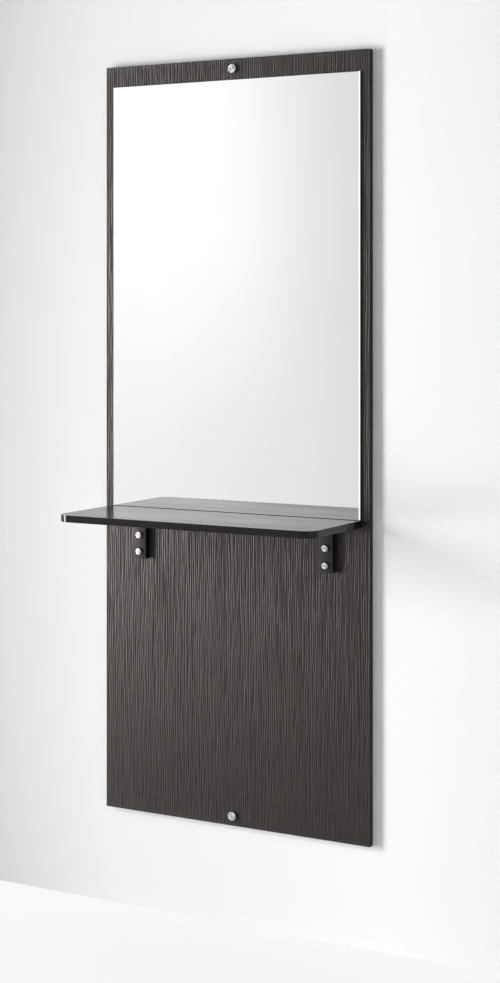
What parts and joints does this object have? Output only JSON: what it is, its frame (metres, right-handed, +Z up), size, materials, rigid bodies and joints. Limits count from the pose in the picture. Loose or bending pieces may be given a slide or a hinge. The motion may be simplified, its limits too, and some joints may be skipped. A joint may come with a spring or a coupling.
{
  "type": "wall-hung salon styling station",
  "caption": "Tall wall-hung salon styling station: dark wood-grain panels, a large frameless mirror, a round-cornered shelf on L brackets and polished cover caps.",
  "frame": {"origin": "on the wall plane, on the station's centre line, at half its height, on the back of the upper panel", "axes": "+X to the right as seen from the room, +Y into the wall, +Z up"},
  "size_m": [0.79, 0.288, 2],
  "materials": {
    "laminate": "satin embossed grain",
    "edge_band": "satin",
    "mirror": "silvered, ground edge",
    "safety_film": "matte",
    "mounting_tape": "matte foam",
    "bracket_paint": "satin powder coat",
    "polished_cap": "polished, turned face",
    "zinc_steel": "zinc plated",
    "dowel_wood": "plain"
  },
  "bodies": {
    "root": {"bracket_cap_base_left_lower": "zinc_steel", "bracket_cap_base_left_upper": "zinc_steel", "bracket_cap_base_right_lower": "zinc_steel", "bracket_cap_base_right_upper": "zinc_steel", "bracket_cap_left_lower": "polished_cap", "bracket_cap_left_upper": "polished_cap", "bracket_cap_right_lower": "polished_cap", "bracket_cap_right_upper": "polished_cap", "bracket_screw_left_lower": "zinc_steel", "bracket_screw_left_upper": "zinc_steel", "bracket_screw_right_lower": "zinc_steel", "bracket_screw_right_upper": "zinc_steel", "lower_edge_bottom": "edge_band", "lower_edge_left": "edge_band", "lower_edge_right": "edge_band", "lower_panel": "laminate", "mirror_glass": "mirror", "mirror_safety_film": "safety_film", "mirror_tape_1": "mounting_tape", "mirror_tape_2": "mounting_tape", "mirror_tape_3": "mounting_tape", "mirror_tape_4": "mounting_tape", "panel_dowel_1": "dowel_wood", "panel_dowel_2": "dowel_wood", "panel_dowel_3": "dowel_wood", "panel_dowel_4": "dowel_wood", "shelf_board": "laminate", "shelf_bracket_left": "bracket_paint", "shelf_bracket_right": "bracket_paint", "shelf_edge_band": "edge_band", "shelf_screw_left_front": "zinc_steel", "shelf_screw_left_rear": "zinc_steel", "shelf_screw_right_front": "zinc_steel", "shelf_screw_right_rear": "zinc_steel", "upper_edge_left": "edge_band", "upper_edge_right": "edge_band", "upper_edge_top": "edge_band", "upper_panel": "laminate", "wall_cap_base_bottom": "zinc_steel", "wall_cap_base_top": "zinc_steel", "wall_cap_bottom": "polished_cap", "wall_cap_top": "polished_cap", "wall_screw_bottom": "zinc_steel", "wall_screw_top": "zinc_steel"}
  },
  "joints": []
}
